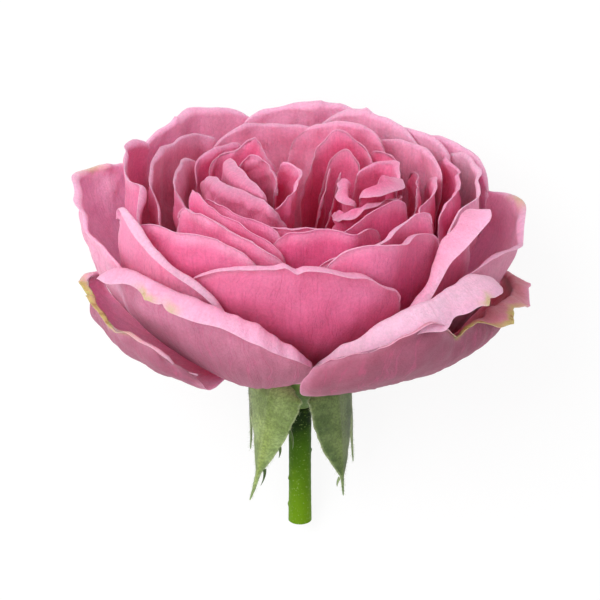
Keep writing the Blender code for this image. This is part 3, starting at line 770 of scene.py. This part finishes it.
def stem_mesh():
    """Round stem with a slight bow, faint ridges, a few small bumps and a square cut."""
    sides = 56
    t = shares(121)
    angle = np.linspace(0, 2 * pi, sides, endpoint=False)
    z = STEM_TOP - STEM_LEN * t
    base = STEM_R * (1 + STEM_FLARE * (2 * t - 1) ** 2)
    ridges = 0.02 * waves(angle / pi, 5, 8, 3, 0.7)[None, :] + 0.018 * waves(t, 6, 15, 3, 0.7)[:, None]
    r = base[:, None] + ridges
    for down, degrees, height in BUMPS:
        turn = (angle[None, :] - radians(degrees) + pi) % (2 * pi) - pi
        reach = (turn * STEM_R / BUMP_SIZE[0]) ** 2 + ((t[:, None] - down) * STEM_LEN / BUMP_SIZE[1]) ** 2
        r = r + height * np.exp(-reach)
    r[-1] = r[-2] - 0.1
    z[-1] = z[-2] - 0.06
    r = np.concatenate([r[:1] * 0.5, r, r[-1:] * 0.75, r[-1:] * 0.4])
    z = np.concatenate([z[:1], z, z[-1:], z[-1:] + 0.04])
    bow = np.concatenate([t[:1], t, t[-1:], t[-1:]])
    centre = xyz(0 * bow, -STEM_BEND * bow * bow, 0 * bow)
    mesh = smooth_mesh("stem_skin", *turned_part(r, z, sides, centre))
    float_attribute(mesh, "cut", [*np.repeat(np.arange(len(z)) >= len(z) - 3, sides), 0, 1])
    float_attribute(mesh, "radius", [*(r / base[-1]).ravel(), 0, 0])
    float_attribute(mesh, "down", [*np.repeat(bow, sides), 0, 1])
    return mesh


# ---- nodes
class Nodes:
    """Short names for making and joining the nodes of a tree."""

    def __init__(self, tree):
        self.tree = tree

    def feed(self, socket, value):
        if isinstance(value, bpy.types.NodeSocket):
            self.tree.links.new(value, socket)
        elif socket.type == "RGBA":
            socket.default_value = (*value, 1)
        else:
            socket.default_value = value

    def node(self, kind, inputs=None, **settings):
        """Outputs of a new node, its settings made first and then its inputs fed, by name or number."""
        made = self.tree.nodes.new(kind)
        for key, value in settings.items():
            setattr(made, key, value)
        for key, value in (inputs or {}).items():
            self.feed(made.inputs[key], value)
        return made.outputs

    def math(self, operation, *values, **settings):
        return self.node("ShaderNodeMath", dict(enumerate(values)), operation=operation, **settings)[0]

    def times(self, a, b, plus=None):
        return self.math("MULTIPLY", a, b) if plus is None else self.math("MULTIPLY_ADD", a, b, plus)


# ---- grown with geometry nodes: hairs and stamens
class Growth(Nodes):
    """Geometry node tree that grows copies of a small shape on a surface's faces."""

    def __init__(self, name, inputs):
        super().__init__(bpy.data.node_groups.new(name, "GeometryNodeTree"))
        face = self.tree.interface
        for way in ("INPUT", "OUTPUT"):
            face.new_socket("Geometry", in_out=way, socket_type="NodeSocketGeometry")
        self.values = {}
        for label, value in inputs.items():
            socket = face.new_socket(label, in_out="INPUT", socket_type="NodeSocketFloat")
            self.values[socket.identifier] = value
        self.given = self.node("NodeGroupInput")
        self.sink = self.tree.nodes.new("NodeGroupOutput").inputs[0]

    def random(self, data_type, low, high, seed):
        inputs = {"Min": low, "Max": high, "Seed": seed}
        return self.node("FunctionNodeRandomValue", inputs, data_type=data_type)["Value"]

    def scattered(self, density, seed, shifts):
        """Random points on the faces, each turned along its normal as the shifts bend it."""
        inputs = {"Mesh": self.given["Geometry"], "Density": density, "Seed": seed}
        points = self.node("GeometryNodeDistributePointsOnFaces", inputs, distribute_method="RANDOM")
        aim = points["Normal"]
        for shift in shifts:
            aim = self.node("ShaderNodeVectorMath", {0: aim, 1: shift}, operation="ADD")[0]
        turn = self.node("FunctionNodeAlignRotationToVector", {"Vector": aim}, axis="Z")[0]
        return {"Points": points["Points"], "Rotation": turn}

    def cone(self, sides, top, bottom, depth):
        inputs = {"Vertices": sides, "Radius Top": top, "Radius Bottom": bottom, "Depth": depth}
        return self.node("GeometryNodeMeshCone", inputs, fill_type="NONE")["Mesh"]

    def painted(self, shape, material):
        return self.node("GeometryNodeSetMaterial", {"Geometry": shape, "Material": material})[0]

    def stood(self, places, shape, scale):
        """Real copies of a shape on the scattered points."""
        copies = self.node("GeometryNodeInstanceOnPoints", {**places, "Instance": shape, "Scale": scale})
        return self.node("GeometryNodeRealizeInstances", {0: copies["Instances"]})[0]

    def grown(self, obj, result):
        """Plain mesh of what grows on an object; the modifier is gone afterwards."""
        self.feed(self.sink, result)
        modifier = obj.modifiers.new(self.tree.name, "NODES")
        modifier.node_group = self.tree
        for identifier, value in self.values.items():
            modifier[identifier] = value
        graph = bpy.context.evaluated_depsgraph_get()
        mesh = bpy.data.meshes.new_from_object(obj.evaluated_get(graph))
        obj.modifiers.remove(modifier)
        return mesh


def hairs_on(obj, material):
    """Short hairs, dense along the margin and thin over the blade, all leaning to the sepals' tips."""
    sizes = {"Felt per area": HAIR_FELT, "Fringe per area": HAIR_FRINGE, "Length": HAIR_LENGTH}
    g = Growth("sepal_hairs", {**sizes, "Lean": HAIR_LEAN})
    margin = g.node("GeometryNodeInputNamedAttribute", {"Name": "margin"}, data_type="FLOAT")
    near = g.math("LESS_THAN", margin["Attribute"], HAIR_FRINGE_WIDTH)
    density = g.math("ADD", g.given["Felt per area"], g.times(near, g.given["Fringe per area"]))
    down = {0: tuple(-flower_direction((0, 0, 1))), "Scale": g.given["Lean"]}
    lean = g.node("ShaderNodeVectorMath", down, operation="SCALE")[0]
    jitter = g.random("FLOAT_VECTOR", (-0.45,) * 3, (0.45,) * 3, 4)
    places = g.scattered(density, 12, (lean, jitter))
    size = g.times(g.random("FLOAT", 0.5, 1.3, 9), g.math("ADD", g.times(near, 0.6), 0.55))
    hairs = g.stood(places, g.cone(3, 0, HAIR_R, g.given["Length"]), size)
    return g.grown(obj, g.painted(hairs, material))


def stamens_on(obj, filament, anther):
    """Short filaments with an anther each, standing on a small dome."""
    sizes = {"Stamens per area": STAMENS_PER_AREA, "Length": STAMEN_LENGTH, "Anther size": ANTHER_R}
    g = Growth("stamen_tuft", sizes)
    jitter = g.random("FLOAT_VECTOR", (-0.3,) * 3, (0.3,) * 3, 6)
    places = g.scattered(g.given["Stamens per area"], 5, (jitter,))
    stalk = g.cone(5, FILAMENT_R * 0.7, FILAMENT_R, g.given["Length"])
    head = g.node("GeometryNodeMeshIcoSphere", {"Subdivisions": 1, "Radius": g.given["Anther size"]})
    lift = g.node("ShaderNodeCombineXYZ", {"Z": g.given["Length"]})
    lifted = {"Geometry": head["Mesh"], "Translation": lift[0], "Scale": (1, 0.7, 1.5)}
    head = g.node("GeometryNodeTransform", lifted)["Geometry"]
    stamen = g.tree.nodes.new("GeometryNodeJoinGeometry")
    for shape in (g.painted(head, anther), g.painted(stalk, filament)):
        g.feed(stamen.inputs[0], shape)
    return g.grown(obj, g.stood(places, stamen.outputs[0], g.random("FLOAT", 0.75, 1.15, 2)))


# ---- materials
# scale of the patterns, per metre
WOBBLE = 210
CLOUD = 95
GRAIN = 1900
NET = 1500
PATCH = 240
BROWNING = 620
FELT_CLOUD = 260
FELT_GRAIN = 2300
STEM_CLOUD = 220
STEM_GRAIN = 2600
HIP_CLOUD = 240
HIP_DOTS = 1100
# depth of the reliefs (m)
RELIEF = 0.00012
HIP_RELIEF = 0.00015


class Paint(Nodes):
    """Material, and short names for the nodes of its finish; sockets are named with _ for a space."""

    def __init__(self, name, **sockets):
        self.material = bpy.data.materials.new(name)
        self.material.use_nodes = True
        super().__init__(self.material.node_tree)
        self.shader = self.tree.nodes["Principled BSDF"]
        for key, value in sockets.items():
            self.feed(self.shader.inputs[key.replace("_", " ")], value)

    def here(self):
        return self.node("ShaderNodeTexCoord")["Object"]

    def attribute(self, name):
        return self.node("ShaderNodeAttribute", attribute_name=name)["Fac"]

    def range(self, value, low, high, to_low=0, to_high=1):
        inputs = {"Value": value, "From Min": low, "From Max": high, "To Min": to_low, "To Max": to_high}
        return self.node("ShaderNodeMapRange", inputs, interpolation_type="SMOOTHSTEP")[0]

    def mix(self, factor, a, b, blend="MIX"):
        inputs = {0: factor, 6: a, 7: b}
        return self.node("ShaderNodeMix", inputs, data_type="RGBA", blend_type=blend)[2]

    def over(self, factor, colour):
        """Lay a colour over what is there already."""
        self.body = self.mix(factor, self.body, colour)

    def vector(self, x, y, z):
        return self.node("ShaderNodeCombineXYZ", {0: x, 1: y, 2: z})[0]

    def speckle(self, speck):
        self.body = self.mix(1, self.body, self.vector(speck, speck, speck), "MULTIPLY")

    def noise(self, vector, scale, detail=2, roughness=0.5):
        inputs = {"Vector": vector, "Scale": scale, "Detail": detail, "Roughness": roughness}
        return self.node("ShaderNodeTexNoise", inputs)["Fac"]

    def cells(self, vector, scale):
        inputs = {"Vector": vector, "Scale": scale}
        return self.node("ShaderNodeTexVoronoi", inputs, feature="DISTANCE_TO_EDGE")["Distance"]

    def coat(self, height=None, strength=0, depth=RELIEF):
        """The material, with its colour and its relief."""
        self.feed(self.shader.inputs["Base Color"], self.body)
        if height:
            inputs = {"Strength": strength, "Distance": depth, "Height": height}
            self.feed(self.shader.inputs["Normal"], self.node("ShaderNodeBump", inputs)[0])
        return self.material


def petal_finish(kind, deep, middle, bright, pale_share, vein_share):
    """Petal skin: deep at the claw, then middle, bright on the upper part, pale along the margin."""
    p = Paint(
        kind + "_petal_finish", Roughness=0.62, Specular_IOR_Level=0.18, Sheen_Weight=0.06,
        Sheen_Roughness=0.45, Subsurface_Weight=0.5, Subsurface_Radius=(1, 0.4, 0.52),
        Subsurface_Scale=0.0014,
    )
    across, up, margin, back, worn, tone, dull_back, dull_face, lit_pale_share = (
        p.attribute(name)
        for name in ("across", "up", "margin", "outside", "worn", "tone", "dull_back", "dull_face", "soft")
    )
    here = p.here()

    # veins fan out from the claw: fine across, long up the petal
    fan = p.times(p.noise(here, WOBBLE, 3), 0.12, plus=across)
    lines = p.noise(p.vector(p.times(fan, 7), p.times(up, 1.1), tone), 2)
    ridge = p.range(p.math("ABSOLUTE", p.math("SUBTRACT", lines, 0.5)), 0, 0.03, 1, 0)
    ridge = p.times(ridge, p.range(margin, 1, 4.5))
    net = p.range(p.cells(here, NET), 0, 0.16, 1, 0)
    grain = p.noise(here, GRAIN, 3, 0.7)
    streak = p.noise(p.vector(p.times(fan, 11), p.times(up, 3), tone), 2, 4, 0.65)
    height = p.times(grain, 0.9, plus=p.times(ridge, -0.5, plus=p.times(net, -0.3)))
    height = p.times(streak, 0.35, plus=height)

    # the body of the colour, which drifts up and down the petal in soft clouds
    drift = p.math("SUBTRACT", p.noise(here, CLOUD, 4, 0.6), 0.5)
    grow = p.times(drift, 0.35, plus=up)
    p.body = p.mix(p.range(grow, 0.12, 0.62), deep, middle)
    p.over(p.range(grow, 0.6, 1.02), bright)
    # pale colour and painted light: faces of petals in shade are lifted towards a light pink, the back less
    # so
    soft = p.times(lit_pale_share, p.range(grow, 0.1, 0.75))
    p.over(p.times(soft, p.math("SUBTRACT", 1, p.times(back, 0.7))), LIT_PALE)
    # mauve on the dull sides; past 0.75 the back deepens into painted shade
    mauve_back = p.mix(p.range(dull_back, 0.75, 1), MAUVE, MAUVE_SHADE)
    mauve_face = p.mix(p.range(dull_face, 0.75, 1), MAUVE, DRY_ROSE)
    side_dull = p.times(back, p.math("SUBTRACT", dull_back, dull_face), plus=dull_face)
    p.over(p.times(side_dull, 0.9), p.mix(back, mauve_face, mauve_back))
    # painted shade low on the back of the petal, darkest towards the claw
    low = p.times(p.times(back, dull_back), p.range(grow, 0.48, 0.92, 0.95, 0))
    p.over(low, MAUVE_SHADE)
    pale = p.range(p.times(drift, 3, plus=margin), 0.2, 3.2, pale_share, 0)
    p.over(p.times(pale, p.range(side_dull, 0.7, 1, 1, 0.35)), PALE)
    p.over(p.range(margin, 0.05, 0.45, 0.35, 0), EDGE)
    p.over(p.times(ridge, p.times(back, vein_share, plus=0.06)), VEIN)
    p.over(p.times(net, 0.05), VEIN)
    speck = p.times(p.range(grain, 0.3, 0.7, 0.92, 1.06), p.range(streak, 0.32, 0.68, 0.95, 1.03))
    p.speckle(speck)

    # greenish, papery stretches of old margins, browned in places
    near = p.range(margin, 0.2, 3.2, 1, 0)
    patch = p.times(p.noise(here, PATCH, 4, 0.6), 0.9, plus=p.times(near, 0.4))
    spot = p.times(p.times(p.range(patch, 0.52, 0.8), worn), near)
    p.over(spot, PAPERY)
    brown = p.times(p.range(spot, 0.5, 0.95), p.range(p.noise(here, BROWNING, 3), 0.5, 0.66))
    p.over(p.times(brown, 0.7), BROWNED)
    return p.coat(height, 0.7)


def sepal_finish():
    """Felted green: greyer and paler at the margin, yellowish along the middle, pale on the inner side."""
    p = Paint(
        "sepal_finish", Roughness=0.85, Specular_IOR_Level=0.15, Sheen_Weight=0.25, Sheen_Roughness=0.6,
        Subsurface_Weight=0.12, Subsurface_Radius=(0.5, 0.9, 0.3), Subsurface_Scale=0.0006,
    )
    across, up, margin, back, lit_share = (
        p.attribute(name) for name in ("across", "up", "margin", "outside", "lit_share")
    )
    cloud = p.noise(p.here(), FELT_CLOUD, 4, 0.6)
    grain = p.noise(p.here(), FELT_GRAIN, 3, 0.7)
    mottled = p.range(cloud, 0.35, 0.65)
    # painted light: each sepal's outside is a lit or a shaded copy of the same felt, as its row gives
    leaf = p.mix(lit_share, (0.028, 0.062, 0.01), (0.15, 0.22, 0.06))
    p.body = p.mix(mottled, leaf, p.mix(lit_share, (0.07, 0.115, 0.026), (0.27, 0.36, 0.13)))
    middle = p.range(p.math("ABSOLUTE", across), 0, 0.75, 1, 0)
    p.over(p.times(p.times(middle, lit_share), p.range(up, 0.15, 0.6, 0.05, 0.45)), (0.32, 0.4, 0.09))
    p.body = p.mix(back, p.mix(mottled, (0.26, 0.32, 0.16), (0.36, 0.42, 0.24)), p.body)
    p.over(p.range(margin, 0, 0.5, 0.6, 0), (0.36, 0.42, 0.22))
    p.over(p.range(up, 0.8, 1, 0, 0.6), (0.1, 0.2, 0.04))
    p.speckle(p.range(grain, 0.32, 0.68, 0.72, 1.25))
    return p.coat(p.times(cloud, 0.8, plus=grain), 0.7)


def stem_finish():
    """Bright smooth green, with painted shadow darkening it under the flower, and a pale cut end."""
    p = Paint(
        "stem_finish", Roughness=0.55, Specular_IOR_Level=0.12, Subsurface_Weight=0.15,
        Subsurface_Radius=(0.4, 0.9, 0.15), Subsurface_Scale=0.0008,
    )
    down, cut, radius = (p.attribute(name) for name in ("down", "cut", "radius"))
    cloud = p.noise(p.here(), STEM_CLOUD, 4, 0.6)
    grain = p.noise(p.here(), STEM_GRAIN)
    # painted shadow: dark green at the top under the flower, brighter further down the stem
    shade_to_light = p.times(p.math("SUBTRACT", cloud, 0.5), 0.4, plus=down)
    p.body = p.mix(p.range(shade_to_light, 0.05, 0.35), (0.01, 0.03, 0.002), (0.052, 0.13, 0.001))
    p.over(p.range(shade_to_light, 0.35, 0.95), (0.12, 0.24, 0.002))
    p.over(p.range(cloud, 0.55, 0.75, 0, 0.3), (0.18, 0.3, 0.02))
    p.over(p.range(grain, 0.62, 0.7, 0, 0.5), (0.26, 0.38, 0.1))
    p.over(cut, p.mix(p.range(radius, 0.55, 0.8), (0.5, 0.56, 0.3), (0.2, 0.32, 0.08)))
    return p.coat(p.times(cloud, 1.2, plus=p.times(grain, 0.4)), 0.5)


def receptacle_finish():
    """Smooth waxy green hip, mottled and dotted."""
    p = Paint("receptacle_finish", Roughness=0.48, Specular_IOR_Level=0.35)
    cloud = p.noise(p.here(), HIP_CLOUD, 4, 0.6)
    dots = p.range(p.cells(p.here(), HIP_DOTS), 0, 0.1, 0.35, 0)
    p.body = p.mix(p.range(cloud, 0.35, 0.65), (0.085, 0.17, 0.02), (0.17, 0.27, 0.045))
    p.over(dots, (0.26, 0.34, 0.12))
    return p.coat(p.math("ADD", cloud, dots), 0.5, HIP_RELIEF)


def mottled_finish(name, low, high, roughness, scale=1500, detail=(3, 0.6), band=(0.3, 0.7), **sockets):
    """Two tones in soft spots, for the hairs and the small pieces in the eye."""
    p = Paint(name, Roughness=roughness, **sockets)
    p.body = p.mix(p.range(p.noise(p.here(), scale, *detail), *band), low, high)
    return p.coat()


# ---- the rose
def build_petals():
    seed = 3
    for kind, rows in PETALS.items():
        finish = petal_finish(kind, *PETAL_COLOURS[kind])
        for number, options in enumerate(rows, 1):
            row = {**OPTIONS, **KINDS[kind], **options}
            petal(f"{kind}_petal_{number:02d}", row, seed, finish)
            seed += 11


def build_sepals():
    """Five sepals with their side lobes, and one coat of hairs over them all."""
    finish = sepal_finish()
    everything = []
    for name, (row, lobes) in SEPALS.items():
        parts = [sepal_part(row)] + [lobe_part(row, *lobe) for lobe in lobes]
        everything += parts
        finished(name + "_skin", parts_mesh(name + "_skin", parts), finish, name)
    hair_finish = mottled_finish(
        "sepal_hair_finish", (0.24, 0.33, 0.14), (0.52, 0.6, 0.36), 0.6,
        scale=900, detail=(2, 0.5), band=(0.35, 0.65), Specular_IOR_Level=0.3,
    )
    hairs = add_object("sepal_hairs", parts_mesh("sepal_hairs_bed", everything))
    hairs.data = hairs_on(hairs, hair_finish)
    hairs.data.name = "sepal_hairs"
    on_the_rose(hairs)


def build_eye():
    """Tuft of stamens round the styles, on a small dome deep between the centre petals."""
    filament = mottled_finish("filament_finish", (0.55, 0.34, 0.16), (0.72, 0.5, 0.26), 0.6)
    anther = mottled_finish("anther_finish", (0.42, 0.2, 0.03), (0.66, 0.4, 0.08), 0.8)
    style = mottled_finish("style_finish", (0.38, 0.4, 0.12), (0.52, 0.5, 0.2), 0.6)
    t = shares(14)
    r = EYE_R * (0.35 + 0.35 * t[::-1]) * np.sin(np.clip(1.2 * t + 0.12, 0, pi / 2))
    styles = smooth_mesh("stamens_dome", *turned_part(r, EYE_TOP - (EYE_TOP - EYE_FOOT) * t, 20))
    tuft = add_object("stamens_tuft", styles)
    tuft.data = stamens_on(tuft, filament, anther)
    styles.materials.append(style)
    on_the_rose(tuft, "stamens")
    on_the_rose(add_object("styles_column", styles))


build_petals()
build_sepals()
build_eye()
finished("receptacle_skin", receptacle_mesh(), receptacle_finish(), "receptacle")
finished("stem_skin", stem_mesh(), stem_finish(), "stem")


# ---- floor, lights, camera
def stage_floor():
    """Pale floor that the camera sees as white, but for a faint shadow."""
    bpy.ops.mesh.primitive_plane_add(size=FLOOR_SIZE)
    floor = bpy.context.object
    floor.name = "floor"
    p = Paint("pale_floor", Roughness=0.9, Base_Color=(FLOOR_TONE,) * 3, Specular_IOR_Level=0)
    path = p.node("ShaderNodeLightPath")
    rays = p.math("ADD", path["Is Camera Ray"], path["Is Glossy Ray"])
    rays = p.math("ADD", rays, path["Is Transmission Ray"], use_clamp=True)
    glow = p.node("ShaderNodeEmission", {"Strength": 1})[0]
    mixed = p.node("ShaderNodeMixShader", {0: p.times(rays, FLOOR_GLOW), 1: p.shader.outputs[0], 2: glow})
    p.feed(p.tree.nodes["Material Output"].inputs["Surface"], mixed[0])
    floor.data.materials.append(p.material)


def studio_light():
    """Round soft lamps that look at the middle of the flower, and an even white world."""
    heart = FLOWER @ Vector((0, 0, LAMPS_AT))
    for name, (size, watts, direction, distance) in LAMPS.items():
        data = bpy.data.lights.new(name, "AREA")
        data.shape = "DISK"
        data.size = size
        data.energy = watts
        lamp = add_object(name, data)
        lamp.location = heart + flower_direction(direction) * distance
        lamp.rotation_euler = (heart - lamp.location).to_track_quat("-Z", "Y").to_euler()
    world = bpy.data.worlds.new("studio")
    bpy.context.scene.world = world
    world.use_nodes = True
    back = world.node_tree.nodes["Background"]
    back.inputs["Color"].default_value = (1, 1, 1, 1)
    back.inputs["Strength"].default_value = WORLD_LIGHT


def camera():
    """Looks down on the lying rose, VIEW_DEG above the level of its petals."""
    view = radians(VIEW_DEG)
    up, ahead = Vector((0, sin(view), cos(view))), Vector((0, cos(view), -sin(view)))
    data = bpy.data.cameras.new("camera")
    data.sensor_width = SENSOR
    data.lens = LENS
    data.clip_start = 0.01
    obj = add_object("camera", data)
    turn = FLOWER.to_3x3().normalized()
    columns = (turn @ Vector((1, 0, 0)), turn @ up, -(turn @ ahead))
    matrix = Matrix(columns).transposed().to_4x4()
    matrix.translation = FLOWER @ (up * CAMERA_RISE - ahead * CAMERA_OFF)
    obj.matrix_world = matrix
    bpy.context.scene.camera = obj


stage_floor()
studio_light()
camera()
bpy.context.scene.view_settings.view_transform = "Standard"
